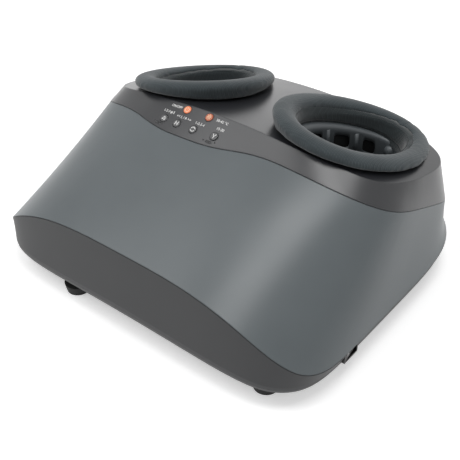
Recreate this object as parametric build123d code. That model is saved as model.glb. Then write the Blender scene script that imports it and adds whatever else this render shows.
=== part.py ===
from build123d import *
import os
from math import atan, copysign, cos, exp, hypot, pi, radians, sin, sqrt

# Foot massager with two padded ankle openings, in millimetres.
# X runs across the feet, Y from the toes to the heels, +Z is up.
# The origin is on the floor, under the middle of the body.

# Body outline
body_half_width = 215.0
body_front_y = -180.0
body_rear_y = 182.5
base_flare = -4.0
base_front_y = -183.0
base_rear_y = 183.0
base_bottom = 10.5
front_round = 24.0
side_round = 13.0
front_corner_power = 7.0
rear_corner_power = 5.0
outline_points = 60
round_steps = 6
round_height_share = 0.55

# Walls and gaps
wall = 3.0
ramp_drop_share = 0.65
rounding_turn = 90.0
seam_gap = 0.5
seat_gap = 0.3
running_gap = 0.05
overrun = 30.0

# Parting line between base and ramp cover
parting_side_z = 32.3
parting_front_rise = 71.0
parting_rear_rise = 34.0
parting_power = 3.3

# Lower edge of the top trim, with its dip round the buttons
trim_front_y = -32.0
trim_front_z = 169.7
trim_rear_y = 174.0
trim_half_width = 198.8
trim_slope_share = -0.398
trim_arch = 19.7
trim_corner_power = 4.3
dip_reach = 15.0
dip_drop = 11.8
dip_center_x = -33.0
dip_half_width = 73.0

# Deck on top of the trim
deck_front_y = -15.2
deck_front_z = 184.5
deck_rear_y = 166.0
deck_half_width = 189.5
deck_slope_share = -0.205
deck_arch = 24.3
deck_front_power = 3.2
deck_rear_power = 4.5
top_z = 221.0

# Ankle openings and their padded collars
foot_x = 99.0
opening_x = 102.0
opening_center_y = 80.0
opening_half_width = 53.0
opening_half_length = 77.0
opening_egg_share = -0.09
opening_yaw = -15.0
opening_back_tilt_share = -0.06
opening_side_tilt_share = -0.065
collar_lift = -1.0
collar_skirt = 8.0
collar_half_width = 13.0
collar_half_height = 7.5
collar_section_angles = (-50.0, -20.0, 10.0, 35.0, 60.0, 80.0)
collar_points = 40
ring_reach = 10.0
ring_wall = 2.0
ring_depth = 17.0
ring_step = 2.2
ring_gap = 0.8

# Foot pockets
pocket_half_width = 62.0
pocket_front_y = -146.0
pocket_rear_y = 164.0
pocket_power = 4.6
pocket_wall = 2.0
pocket_toe_z = 90.0
pocket_toe_slope_share = 0.449
pocket_side_slope_share = -0.15
pocket_deck_depth = 20.0
sole_top = 58.0
sole_thickness = 3.0
sole_margin = 2.0
airbag_thickness = 9.0
airbag_half_width = 42.0
airbag_half_length = 34.0
airbag_center_y = -72.0
airbag_round = 4.0
heater_thickness = 1.2
heater_half_width = 30.0
heater_front_y = -136.0
heater_rear_y = -123.0

# Kneading rollers and their shafts
roller_shaft_y = {"front": -95.0, "middle": -8.0, "rear": 84.0}
roller_shaft_z = 46.0
roller_shaft_radius = 4.0
roller_radius = 12.0
roller_half_length = 34.0
roller_chamfer = 2.0
knob_radius = 6.0
knob_tip_radius = 3.6
knob_root = 10.0
knob_height = 11.0
knob_rows = 3
knobs_per_row = 6
window_half_length = 26.0
window_half_width = 38.0
window_round = 5.0
shaft_end_x = 170.0
bearing_center_x = 167.0
bearing_half_width = 4.0
bearing_half_depth = 11.0
bearing_top = 54.0

# Worm drive between the feet
gear_teeth = 30
gear_module = 1.2
gear_width = 9.0
gear_hub_radius = 9.0
tooth_foot_share = 0.05
tooth_tip_share = 0.3
tooth_tip_end_share = 0.55
tooth_foot_end_share = 0.8
worm_radius = 7.0
worm_half_length = 14.0
mesh_gap = 0.4
drive_shaft_radius = 3.0
gearbox_half_width = 20.0
gearbox_front_y = -122.0
gearbox_rear_y = 112.0
gearbox_top = 90.0
gearbox_wall = 2.5
bush_wall = 2.0
bush_length = 7.0
motor_radius = 19.0
motor_length = 46.0
motor_gap = 4.0
motor_boss_radius = 6.0
motor_plate = 3.0
motor_plate_half_width = 24.0

# Air system
pump_half_width = 27.0
pump_front_y = -155.0
pump_rear_y = -126.0
pump_height = 44.0
pump_round = 3.0
valve_height = 16.0
valve_half_width = 20.0
valve_round = 2.6
hose_radius = 2.6
hose_bore = 1.4
hose_end_y = -56.0

# Posts, bosses and fasteners
post_radius = 5.0
post_inset_x = 53.0
post_y = (-137.0, 38.0, 146.0)
boss_radius = 6.0
boss_places = ((186.0, -112.0), (186.0, 118.0), (-186.0, -112.0), (-186.0, 118.0))
boss_split_z = 44.0
boss_rib = 3.0
boss_height = 32.0
screw_radius = 1.9
screw_head_radius = 3.6
screw_head_height = 2.4
screw_recess = 5.0
screw_grip = 12.0

# Feet on the floor
foot_pad_radius = 13.0
foot_pad_top_radius = 15.0
foot_pads = ((-92.0, -163.0), (160.0, -150.0), (-150.0, 150.0), (150.0, 150.0))
foot_spigot_radius = 5.0
foot_spigot_height = 2.0

# Buttons on the trim
button_radius = 4.5
button_gap = 0.3
button_proud = 0.9
button_travel = 0.8
button_flange = 1.3
button_flange_height = 1.5
button_flange_depth = 5.6
button_stem_radius = 1.8
button_row_share = {"upper": 0.84, "lower": 0.34}
buttons = {
    "power": (-47.9, "upper"),
    "heat": (-17.1, "upper"),
    "knead": (-69.6, "lower"),
    "direction": (-50.0, "lower"),
    "air": (-26.7, "lower"),
    "timer": (1.5, "lower"),
}
light_radius = 0.9
light_length = 7.6
light_gap = 0.1
light_row_share = 0.13
light_groups_x = (-73.6, -0.9)
panel_row_share = 0.5
board_depth = 14.0
board_thickness = 1.6
board_half_length = 50.0
board_half_width = 15.0
board_post_radius = 3.0
board_post_inset = 4.0
switch_can_half = 3.0
switch_can_height = 3.5

# Rocker switch in the right-hand side
rocker_center_y = -83.0
rocker_center_z = 26.0
rocker_frame_half_width = 12.0
rocker_frame_half_height = 6.6
rocker_frame_depth = 18.0
rocker_frame_wall = 1.6
rocker_pocket_depth = 9.0
rocker_half_width = 9.6
rocker_half_height = 4.4
rocker_thickness = 6.0
rocker_tilt = 8.0
rocker_pin_radius = 1.0

# Power inlet in the rear wall
inlet_x = -120.0
inlet_z = 40.0
inlet_half_width = 13.0
inlet_half_height = 8.0
inlet_depth = 20.0
inlet_wall = 1.8
inlet_pin_radius = 1.2
inlet_pin_spacing = 8.0
inlet_floor = 5.0

# Power board in the right-hand side channel
power_board_x = 186.0
power_board_y = 12.0
power_board_half_width = 14.0
power_board_half_length = 46.0
power_board_standoff = 8.0
power_board_post_radius = 2.5
choke_size = 16.0
capacitor_radius = 6.0
capacitor_height = 18.0

nodes = {}


def node(name, shape):
    nodes[name] = shape
    return shape


def rounded_outline(half_width, front_y, rear_y, front_power, rear_power):
    """Plan points of a rounded rectangle, counted from +X, by the superellipse formula."""
    middle_y = (front_y + rear_y) / 2
    half_depth = (rear_y - front_y) / 2
    points = []
    for step in range(outline_points):
        angle = 2 * pi * step / outline_points
        power = front_power if sin(angle) < 0 else rear_power
        reach = (abs(cos(angle)) ** power + abs(sin(angle)) ** power) ** (-1 / power)
        points.append((half_width * reach * cos(angle), middle_y + half_depth * reach * sin(angle)))
    return points


def closed_curve(points):
    return Wire([Spline(points, periodic=True)])


def parting_z(width_share, at_front):
    """Height of the parting line, arched over the front and more gently over the rear."""
    rise = parting_front_rise if at_front else parting_rear_rise
    return parting_side_z + rise * (1 - abs(width_share) ** parting_power)


def arch_radius(half_width, arch):
    return (half_width**2 + arch**2) / (2 * arch)


def arch_fall(x, half_width, arch):
    radius = arch_radius(half_width, arch)
    return radius - sqrt(radius**2 - x**2)


def dip_share(x):
    return exp(-abs((x - dip_center_x) / dip_half_width) ** 3)


def trim_z(x, y):
    """Height of the surface that parts the trim from the ramp cover."""
    fade = (base_rear_y - y) / (base_rear_y - trim_front_y)
    crown = trim_front_z - arch_fall(x, trim_half_width, trim_arch)
    return crown + trim_slope_share * (y - trim_front_y) - dip_drop * dip_share(x) * fade


def deck_z(x, y):
    crown = deck_front_z - arch_fall(x, deck_half_width, deck_arch)
    return crown + deck_slope_share * (y - deck_front_y)


def parting_curve(inset):
    half_width = body_half_width - inset
    outline = rounded_outline(
        half_width, body_front_y + inset, body_rear_y - inset, front_corner_power, rear_corner_power
    )
    middle_y = (body_front_y + body_rear_y) / 2
    drop = inset * ramp_drop_share
    return [(x, y, parting_z(x / half_width, y < middle_y) - drop) for x, y in outline]


def trim_curve(inset):
    half_width = trim_half_width - inset
    front_y = trim_front_y + inset
    rear_y = trim_rear_y - inset
    outline = rounded_outline(half_width, front_y, rear_y, trim_corner_power, rear_corner_power)
    middle_y = (trim_front_y + trim_rear_y) / 2
    points = []
    for x, y in outline:
        reach = dip_reach * dip_share(x) if y < middle_y else 0
        points.append((x, y - reach, trim_z(x, y - reach) - inset * ramp_drop_share))
    return points


def deck_curve(inset):
    outline = rounded_outline(
        deck_half_width - inset, deck_front_y + inset, deck_rear_y - inset, deck_front_power, deck_rear_power
    )
    return [(x, y, deck_z(x, y) - inset) for x, y in outline]


def crest_curve(inset):
    """The trim's band carried on in straight lines to a level plane above the deck."""
    points = []
    for low, high in zip(trim_curve(inset), deck_curve(inset)):
        share = (top_z - low[2]) / (high[2] - low[2])
        x = low[0] + (high[0] - low[0]) * share
        y = low[1] + (high[1] - low[1]) * share
        points.append((x, y, top_z))
    return points


def bottom_curve(inset, rise_angle):
    """One ring of the rounded lower edge, larger at the front than at the sides."""
    points = []
    middle_y = (base_front_y + base_rear_y) / 2
    outline = rounded_outline(1, -1, 1, front_corner_power, rear_corner_power)
    for step, (x, y) in enumerate(outline):
        front_share = max(0, -sin(2 * pi * step / outline_points)) ** 2
        radius = side_round + (front_round - side_round) * front_share
        height = min(radius, round_height_share * (parting_z(x, y < 0) - base_bottom))
        reach = inset + radius * (1 - sin(rise_angle))
        half_width = body_half_width + base_flare - reach
        half_depth = (base_rear_y - base_front_y) / 2 - reach
        z = base_bottom + inset + height * (1 - cos(rise_angle))
        points.append((x * half_width, middle_y + y * half_depth, z))
    return points


def raised(points, height):
    return [(x, y, z + height) for x, y, z in points]


def level(points, z):
    return [(x, y, z) for x, y, _ in points]


def ring_loft(rings):
    """A solid through closed rings in straight lines, with flat ends on the first and last."""
    return Solid.make_loft([closed_curve(ring) for ring in rings], ruled=True)


def ring_tube(rings):
    """A closed wall through rings, the last one joined back to the first."""
    wires = [closed_curve(ring) for ring in rings]
    faces = []
    for wire, following in zip(wires, wires[1:] + wires[:1]):
        faces.append(Face.make_surface_from_curves(wire.edges()[0], following.edges()[0]))
    return Solid(Shell(faces))


def filled_cover(inset):
    """The cover's form drawn in by inset and carried on upright, below and above."""
    low = parting_curve(inset)
    high = trim_curve(inset)
    return ring_loft([level(low, -overrun), low, high, level(high, top_z + overrun)])


def filled_trim(inset):
    low = trim_curve(inset)
    return ring_loft([level(low, 0), low, crest_curve(inset)])


def deck_block(offset):
    """Everything below the deck, lowered by offset."""
    reach = body_half_width + overrun
    y = base_front_y - overrun
    left = (-reach, y, deck_z(-reach, y) - offset)
    middle = (0, y, deck_z(0, y) - offset)
    right = (reach, y, deck_z(reach, y) - offset)
    floor = -overrun
    outline = ThreePointArc(left, middle, right)
    outline += Polyline(right, (reach, y, floor), (-reach, y, floor), left)
    length = base_rear_y - base_front_y + 2 * overrun
    direction = (0, 1, deck_slope_share)
    return extrude(make_face(outline), length * hypot(1, deck_slope_share), dir=direction)


def column(x, y, low_z, high_z, radius):
    return Pos(x, y, low_z) * Cylinder(radius, high_z - low_z, align=(Align.CENTER, Align.CENTER, Align.MIN))


def block(low, high):
    size = [high[axis] - low[axis] for axis in range(3)]
    return Pos(*low) * Box(*size, align=(Align.MIN, Align.MIN, Align.MIN))


def rod_x(low_x, high_x, y, z, radius):
    middle = (low_x + high_x) / 2
    return Pos(middle, y, z) * Rot(0, 90, 0) * Cylinder(radius, high_x - low_x)


def rod_y(x, low_y, high_y, z, radius):
    middle = (low_y + high_y) / 2
    return Pos(x, middle, z) * Rot(90, 0, 0) * Cylinder(radius, high_y - low_y)


def mirrored(shape):
    return mirror(shape, about=Plane.YZ)


def pair(name, shape):
    """A right-hand piece and its mirror image."""
    node(name + "_right", shape)
    node(name + "_left", mirrored(shape))


# Ankle openings
deck_side_slope_share = -opening_x / sqrt(arch_radius(deck_half_width, deck_arch) ** 2 - opening_x**2)


def opening_plane(height):
    """Plane over the right-hand opening, height above the deck and tilted back and outwards from it."""
    along_x = Vector(1, 0, deck_side_slope_share + opening_side_tilt_share)
    along_y = Vector(0, 1, deck_slope_share + opening_back_tilt_share)
    normal = along_x.cross(along_y).normalized()
    origin = Vector(opening_x, opening_center_y, deck_z(opening_x, opening_center_y)) + normal * height
    turned = along_x.rotate(Axis((0, 0, 0), normal), opening_yaw)
    return Plane(origin=origin, x_dir=turned, z_dir=normal)


def egg_outline(growth):
    """Outline of the ankle opening, larger by growth all round, broad at the front."""
    half_width = opening_half_width + growth
    half_length = opening_half_length + growth
    points = []
    for step in range(collar_points):
        angle = 2 * pi * step / collar_points
        x = half_width * cos(angle) * (1 + opening_egg_share * sin(angle))
        points.append((x, half_length * sin(angle)))
    return Spline(points, periodic=True)


def egg_face(growth, height):
    return opening_plane(height) * make_face(egg_outline(growth))


def egg_prism(growth, low, high):
    """Prism of the opening's outline, square to its plane."""
    return extrude(egg_face(growth, low), high - low, dir=opening_plane(0).z_dir)


def collar_bowl(side):
    """The collar's outer form for side 1, or the hole through it for side -1."""
    faces = []
    for angle in collar_section_angles:
        growth = collar_half_width * (1 + side * cos(radians(angle)))
        rise = sin(radians(angle)) - sin(radians(collar_section_angles[0]))
        faces.append(egg_face(growth, collar_lift + collar_half_height * rise))
    foot_growth = collar_half_width * (1 + side * cos(radians(collar_section_angles[0])))
    return loft(faces) + egg_prism(foot_growth, collar_lift - collar_skirt, collar_lift)


def make_collar():
    return collar_bowl(1) - collar_bowl(-1) - deck_block(-ring_step - seat_gap)


def make_base():
    angles = [radians(rounding_turn) * step / round_steps for step in range(round_steps + 1)]
    rings = [bottom_curve(0, angle) for angle in angles]
    rings += [raised(parting_curve(inset), -seam_gap / 2) for inset in (0, wall)]
    rings += [bottom_curve(wall, angle) for angle in reversed(angles)]
    holes = [rocker_hole(), inlet_hole()]
    for x, y in boss_places:
        holes.append(column(x, y, -overrun, base_bottom + screw_recess, screw_head_radius + seat_gap))
        holes.append(column(x, y, base_bottom, top_z, screw_radius + running_gap))
    for x, y in foot_pads:
        holes.append(column(x, y, -overrun, base_bottom + foot_spigot_height, foot_spigot_radius + seat_gap))
        holes.append(column(x, y, base_bottom, base_bottom + overrun, screw_radius))
    return ring_loft(rings) - holes


def make_posts():
    """Pillars on the tub's floor, under the sole plates, the cover's bosses and the power board."""
    floor_z = base_bottom + wall
    posts = []
    for x in (foot_x - post_inset_x, foot_x + post_inset_x):
        for y in post_y:
            posts.append(column(x, y, floor_z, sole_top - sole_thickness, post_radius))
            posts.append(column(-x, y, floor_z, sole_top - sole_thickness, post_radius))
    posts += [column(x, y, floor_z, power_board_z, power_board_post_radius) for x, y in board_posts()]
    for x, y in boss_places:
        boss = column(x, y, floor_z, boss_split_z, boss_radius)
        boss -= column(x, y, base_bottom, top_z, screw_radius + running_gap)
        posts.append(boss - column(x, y, base_bottom, base_bottom + screw_recess, screw_head_radius + seat_gap))
    return Compound(posts)


def make_cover():
    low = raised(parting_curve(0), seam_gap / 2)
    high = raised(trim_curve(0), -seam_gap / 2)
    inner_low = raised(parting_curve(wall), seam_gap / 2)
    inner_high = raised(trim_curve(wall), -seam_gap / 2)
    shell = ring_tube([low, inner_low, inner_high, high])
    inside = filled_cover(wall / 2)
    low_z = boss_split_z + seam_gap / 2
    bosses = []
    holes = [rocker_hole()]
    for x, y in boss_places:
        outer_x = copysign(body_half_width, x)
        high_z = low_z + boss_height
        rib = block((min(x, outer_x), y - boss_rib / 2, low_z), (max(x, outer_x), y + boss_rib / 2, high_z))
        bosses += [column(x, y, low_z, high_z, boss_radius) & inside, rib & inside]
        holes.append(column(x, y, boss_split_z - overrun, boss_split_z + screw_grip, screw_radius))
    return shell + bosses - holes


def make_trim():
    low = raised(trim_curve(0), seam_gap / 2)
    inner_low = raised(trim_curve(wall), seam_gap / 2)
    walls = ring_loft([crest_curve(0), low, inner_low, level(crest_curve(wall), top_z - wall)])
    plate = filled_trim(wall / 2) - deck_block(wall)
    shell = (walls + plate) & deck_block(0)
    inside = filled_trim(wall / 2) & deck_block(wall / 2)
    post = Cylinder(board_post_radius, board_depth, align=post_align)
    posts = [panel_plane(board_level) * Pos(x, y, 0) * post & inside for x, y in board_post_places()]
    opening = egg_prism(0, -overrun, overrun)
    holes = [opening, mirrored(opening)]
    button_hole = Pos(0, 0, -overrun) * Cylinder(button_radius + button_gap, 2 * overrun, align=post_align)
    holes += [button_plane(*place) * button_hole for place in buttons.values()]
    holes += [plane * light_bar(light_gap, -board_depth, board_depth) for plane in light_planes()]
    return shell + posts - holes


# Button panel
def band_point(x, share):
    """Point on the trim's front band at x, share of the way up from its lower edge."""
    low_curve = trim_curve(0)
    high_curve = deck_curve(0)
    front = range(outline_points // 2 + 1, outline_points)
    spots = []
    for step in front:
        low = Vector(*low_curve[step])
        high = Vector(*high_curve[step])
        spots.append(low + (high - low) * share)
    for before, after in zip(spots, spots[1:]):
        if before.X <= x <= after.X:
            return before + (after - before) * ((x - before.X) / (after.X - before.X))
    raise ValueError("no band at this place")


def panel_normal():
    low = band_point(dip_center_x, 0)
    high = band_point(dip_center_x, 1)
    slope = atan((high.Z - low.Z) / (high.Y - low.Y))
    return Vector(0, -sin(slope), cos(slope))


panel_up = panel_normal()
post_align = (Align.CENTER, Align.CENTER, Align.MIN)
panel_middle = band_point(dip_center_x, panel_row_share)
board_level = panel_middle - panel_up * board_depth


def panel_plane(point):
    return Plane(origin=point, x_dir=(1, 0, 0), z_dir=panel_up)


def button_plane(x, row):
    return panel_plane(band_point(x, button_row_share[row]))


def light_planes():
    return [panel_plane(band_point(x, light_row_share)) for x in light_groups_x]


def light_bar(growth, low, high):
    outline = SlotOverall(light_length + 2 * growth, 2 * (light_radius + growth))
    return Pos(0, 0, low) * extrude(outline, high - low)


def board_post_places():
    """Places on the control board, across and up the band."""
    reach_x = board_half_length - board_post_inset
    reach_y = board_half_width - board_post_inset
    return [(x, y) for x in (-reach_x, reach_x) for y in (-reach_y, reach_y)]


def make_button(x, row):
    plane = button_plane(x, row)
    depth = (plane.origin - board_level).dot(panel_up)
    flange_z = -button_flange_depth - button_flange_height
    cap = Cylinder(button_radius, button_proud - flange_z, align=post_align)
    cap = Pos(0, 0, flange_z) * fillet(cap.faces().sort_by(Axis.Z)[-1].edges(), button_proud / 2)
    flange = column(0, 0, flange_z, -button_flange_depth, button_radius + button_flange)
    stem_z = switch_can_height + button_travel + running_gap - depth
    stem = column(0, 0, stem_z, flange_z + button_flange_height / 2, button_stem_radius)
    return plane * (cap + flange + stem)


def make_control_board():
    plate = Box(2 * board_half_length, 2 * board_half_width, board_thickness, align=post_align)
    return panel_plane(board_level) * Pos(0, 0, -board_thickness) * plate


def make_tact_switches():
    cans = []
    for x, row in buttons.values():
        point = button_plane(x, row).origin
        foot = point - panel_up * (point - board_level).dot(panel_up)
        can = Box(2 * switch_can_half, 2 * switch_can_half, switch_can_height, align=post_align)
        cans.append(panel_plane(foot) * can)
    return Compound(cans)


def make_lights():
    bars = []
    for plane in light_planes():
        depth = (plane.origin - board_level).dot(panel_up)
        bars.append(plane * light_bar(0, -depth, running_gap))
    return Compound(bars)


# Foot pockets
def pocket_prism(inset, low_z, high_z):
    half_width = pocket_half_width - inset
    front_y = pocket_front_y + inset
    outline = rounded_outline(half_width, front_y, pocket_rear_y - inset, pocket_power, pocket_power)
    face = make_face(Spline(outline, periodic=True))
    return Pos(foot_x, 0, low_z) * extrude(face, high_z - low_z)


def toe_ceiling(depth):
    """Plane of the pocket's ceiling under the ramp, depth below its outer face."""
    along_x = Vector(1, 0, pocket_side_slope_share)
    along_y = Vector(0, 1, pocket_toe_slope_share)
    normal = along_x.cross(along_y).normalized()
    origin = Vector(foot_x, pocket_front_y, pocket_toe_z) - normal * depth
    return Plane(origin=origin, x_dir=along_x, z_dir=normal)


def below(plane):
    """A block that reaches from the plane down past the floor."""
    reach = 2 * body_half_width
    return plane * Box(2 * reach, 2 * reach, reach, align=(Align.CENTER, Align.CENTER, Align.MAX))


def pocket_chamber(inset, floor_z):
    room = pocket_prism(inset, floor_z, top_z) & below(toe_ceiling(inset))
    return room & below(opening_plane(-pocket_deck_depth - inset))


def pocket_neck(growth, top_gap):
    neck = egg_prism(growth, -2 * pocket_deck_depth, overrun)
    neck &= pocket_prism(pocket_wall - growth, sole_top, top_z)
    return neck & deck_block(wall + top_gap)


def make_pocket():
    outer = pocket_chamber(0, sole_top) + pocket_neck(pocket_wall, seat_gap)
    return outer - pocket_chamber(pocket_wall, sole_top - overrun) - pocket_neck(0, -overrun)


def make_sole():
    plate = pocket_prism(-sole_margin, sole_top - sole_thickness, sole_top)
    for y in roller_shaft_y.values():
        window = Box(2 * window_half_width, 2 * window_half_length, overrun)
        plate -= Pos(foot_x, y, sole_top) * fillet(window.edges().filter_by(Axis.Z), window_round)
    return plate


def make_airbag():
    size = (2 * airbag_half_width, 2 * airbag_half_length, airbag_thickness)
    bag = fillet(Box(*size, align=(Align.CENTER, Align.CENTER, Align.MAX)).edges(), airbag_round)
    return toe_ceiling(pocket_wall + seat_gap) * Pos(0, airbag_center_y - pocket_front_y, 0) * bag


def make_heater():
    low = (foot_x - heater_half_width, heater_front_y, sole_top)
    high = (foot_x + heater_half_width, heater_rear_y, sole_top + heater_thickness)
    return block(low, high)


def make_collar_ring():
    flange = (egg_prism(ring_reach, -overrun, overrun) & deck_block(-ring_step)) - deck_block(-running_gap)
    sleeve = egg_prism(-ring_gap, -ring_depth, overrun) & deck_block(-ring_step)
    sleeve &= pocket_prism(pocket_wall + ring_gap, sole_top, top_z)
    return flange + sleeve - egg_prism(-ring_gap - ring_wall, -overrun - ring_depth, overrun)


# Kneading rollers
def make_roller():
    y = roller_shaft_y["front"]
    barrel = rod_x(foot_x - roller_half_length, foot_x + roller_half_length, y, roller_shaft_z, roller_radius)
    barrel = chamfer(barrel.edges(), roller_chamfer)
    knob = Pos(0, 0, knob_root) * Cone(knob_radius, knob_tip_radius, knob_height, align=post_align)
    knobs = []
    for row in range(knob_rows):
        x = foot_x + (row - (knob_rows - 1) / 2) * (roller_half_length - knob_radius)
        for step in range(knobs_per_row):
            turn = 360 * (step + row / 2) / knobs_per_row
            knobs.append(Pos(x, y, roller_shaft_z) * Rot(turn, 0, 0) * knob)
    return barrel + knobs - rod_x(0, 2 * foot_x, y, roller_shaft_z, roller_shaft_radius)


def make_roller_shaft(y):
    return rod_x(-shaft_end_x, shaft_end_x, y, roller_shaft_z, roller_shaft_radius)


shaft_bore = roller_shaft_radius + running_gap
gear_pitch_radius = gear_teeth * gear_module / 2
gear_outer_radius = gear_pitch_radius + gear_module
worm_axis_z = roller_shaft_z + gear_outer_radius + worm_radius + mesh_gap


def make_worm_gear():
    tooth_angle = 2 * pi / gear_teeth
    root_radius = gear_pitch_radius - gear_module
    corners = (
        (tooth_foot_share, root_radius),
        (tooth_tip_share, gear_outer_radius),
        (tooth_tip_end_share, gear_outer_radius),
        (tooth_foot_end_share, root_radius),
    )
    points = []
    for step in range(gear_teeth):
        for share, radius in corners:
            angle = tooth_angle * (step + share)
            points.append((radius * cos(angle), radius * sin(angle)))
    rim = extrude(make_face(Polyline(*points, close=True)), gear_width / 2, both=True)
    rim += Cylinder(gear_hub_radius, gear_width + 2 * gear_module)
    rim -= Cylinder(roller_shaft_radius, 2 * gear_width)
    return Pos(0, 0, roller_shaft_z) * Rot(0, 90, 0) * rim


def make_drive_shaft():
    end_y = motor_face_y + motor_plate - seat_gap
    shaft = rod_y(0, gearbox_front_y + gearbox_wall, end_y, worm_axis_z, drive_shaft_radius)
    for y in roller_shaft_y.values():
        shaft += rod_y(0, y - worm_half_length, y + worm_half_length, worm_axis_z, worm_radius)
    return shaft


# Gearbox, motor and bearings
motor_face_y = gearbox_rear_y + motor_gap


def gearbox_shell():
    floor = base_bottom + wall
    outer = block(
        (-gearbox_half_width, gearbox_front_y, floor),
        (gearbox_half_width, gearbox_rear_y, gearbox_top),
    )
    inner_x = gearbox_half_width - gearbox_wall
    inner = block(
        (-inner_x, gearbox_front_y + gearbox_wall, floor + gearbox_wall),
        (inner_x, gearbox_rear_y - gearbox_wall, gearbox_top - gearbox_wall),
    )
    shell = outer - inner
    for y in roller_shaft_y.values():
        shell -= rod_x(-overrun, overrun, y, roller_shaft_z, roller_shaft_radius + bush_wall)
    for y in (gearbox_front_y, gearbox_rear_y):
        shell -= rod_y(0, y - overrun, y + overrun, worm_axis_z, drive_shaft_radius + bush_wall)
    return shell


def gearbox_half(side):
    low_z = roller_shaft_z if side > 0 else 0
    high_z = top_z if side > 0 else roller_shaft_z
    low = (-body_half_width, base_front_y, low_z)
    high = (body_half_width, base_rear_y, high_z)
    return gearbox_shell() & block(low, high)


def make_bushes():
    bushes = []
    half = bush_length / 2
    wall_x = gearbox_half_width - gearbox_wall / 2
    for y in roller_shaft_y.values():
        for x in (-wall_x, wall_x):
            sleeve = rod_x(x - half, x + half, y, roller_shaft_z, roller_shaft_radius + bush_wall)
            bushes.append(sleeve - rod_x(x - overrun, x + overrun, y, roller_shaft_z, shaft_bore))
    for y in (gearbox_front_y + gearbox_wall / 2, gearbox_rear_y - gearbox_wall / 2):
        sleeve = rod_y(0, y - half, y + half, worm_axis_z, drive_shaft_radius + bush_wall)
        sleeve -= rod_y(0, y - overrun, y + overrun, worm_axis_z, drive_shaft_radius + running_gap)
        bushes.append(sleeve)
    return Compound(bushes)


def make_bearing_blocks():
    blocks = []
    for x in (-bearing_center_x, bearing_center_x):
        for y in roller_shaft_y.values():
            low = (x - bearing_half_width, y - bearing_half_depth, base_bottom + wall)
            high = (x + bearing_half_width, y + bearing_half_depth, bearing_top)
            blocks.append(block(low, high) - rod_x(x - overrun, x + overrun, y, roller_shaft_z, shaft_bore))
    return Compound(blocks)


def make_motor():
    tail = motor_face_y + motor_plate + motor_length
    can = rod_y(0, motor_face_y + motor_plate, tail, worm_axis_z, motor_radius)
    can = fillet(can.edges(), motor_plate / 2)
    return can + rod_y(0, tail - motor_plate, tail + motor_plate / 2, worm_axis_z, motor_boss_radius)


def make_motor_bracket():
    low = (-motor_plate_half_width, motor_face_y, base_bottom + wall)
    high = (motor_plate_half_width, motor_face_y + motor_plate, worm_axis_z + motor_radius)
    plate = block(low, high)
    foot_low = (-motor_plate_half_width, motor_face_y, base_bottom + wall)
    foot_high = (motor_plate_half_width, motor_face_y + motor_length, base_bottom + wall + motor_plate)
    plate += block(foot_low, foot_high)
    return plate - rod_y(0, motor_face_y - overrun, motor_face_y + overrun, worm_axis_z, motor_boss_radius)


# Air system
pump_floor = base_bottom + wall
pump_top = pump_floor + pump_height
valve_top = pump_top + valve_height


def make_pump():
    case = block((-pump_half_width, pump_front_y, pump_floor), (pump_half_width, pump_rear_y, pump_top))
    return fillet(case.edges().filter_by(Axis.Z), pump_round)


def make_valve():
    low = (-valve_half_width, pump_rear_y - 2 * valve_height, pump_top)
    high = (valve_half_width, pump_rear_y, valve_top)
    return fillet(block(low, high).edges().filter_by(Axis.Z), valve_round)


def make_hose():
    start_x = valve_half_width - 2 * hose_radius
    start_y = pump_rear_y - 2 * hose_radius
    end_x = foot_x - pocket_half_width - seat_gap
    x = (start_x + end_x) / 2
    z = gearbox_top + hose_radius + seat_gap
    route = ((start_x, start_y, valve_top), (start_x, start_y, z), (x, hose_end_y, z), (end_x, hose_end_y, z))
    path = FilletPolyline(*route, radius=hose_radius * 2)
    section = Plane(origin=path @ 0, z_dir=path % 0) * (Circle(hose_radius) - Circle(hose_bore))
    return sweep(section, path)


# Rocker switch and power inlet
rocker_face_x = body_half_width - wall / 2


def rocker_box(growth, depth, face_x):
    reach_y = rocker_frame_half_width + growth
    reach_z = rocker_frame_half_height + growth
    low = (face_x - depth, rocker_center_y - reach_y, rocker_center_z - reach_z)
    high = (face_x, rocker_center_y + reach_y, rocker_center_z + reach_z)
    return block(low, high)


def rocker_hole():
    return rocker_box(running_gap, rocker_frame_depth + overrun, rocker_face_x + overrun)


def make_rocker_frame():
    frame = rocker_box(0, rocker_frame_depth, rocker_face_x)
    frame -= rocker_box(-rocker_frame_wall, rocker_pocket_depth, rocker_face_x + running_gap)
    low_z = rocker_center_z - rocker_frame_half_height + running_gap
    high_z = rocker_center_z + rocker_frame_half_height - running_gap
    return frame - column(rocker_hinge_x, rocker_center_y, low_z, high_z, rocker_pin_radius + running_gap)


rocker_hinge_x = rocker_face_x - rocker_pocket_depth / 2


def make_rocker():
    low = (-rocker_thickness / 2, -rocker_half_width, -rocker_half_height)
    high = (rocker_thickness / 2, rocker_half_width, rocker_half_height)
    paddle = fillet(block(low, high).edges().filter_by(Axis.Z), rocker_pin_radius)
    pin_half = rocker_frame_half_height - rocker_frame_wall / 2
    paddle += column(0, 0, -pin_half, pin_half, rocker_pin_radius)
    return Pos(rocker_hinge_x, rocker_center_y, rocker_center_z) * Rot(0, 0, rocker_tilt) * paddle


inlet_face_y = base_rear_y


def inlet_box(growth, depth, face_y):
    low = (inlet_x - inlet_half_width - growth, face_y - depth, inlet_z - inlet_half_height - growth)
    high = (inlet_x + inlet_half_width + growth, face_y, inlet_z + inlet_half_height + growth)
    return block(low, high)


def inlet_hole():
    return inlet_box(running_gap, inlet_depth + overrun, inlet_face_y + overrun)


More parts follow.
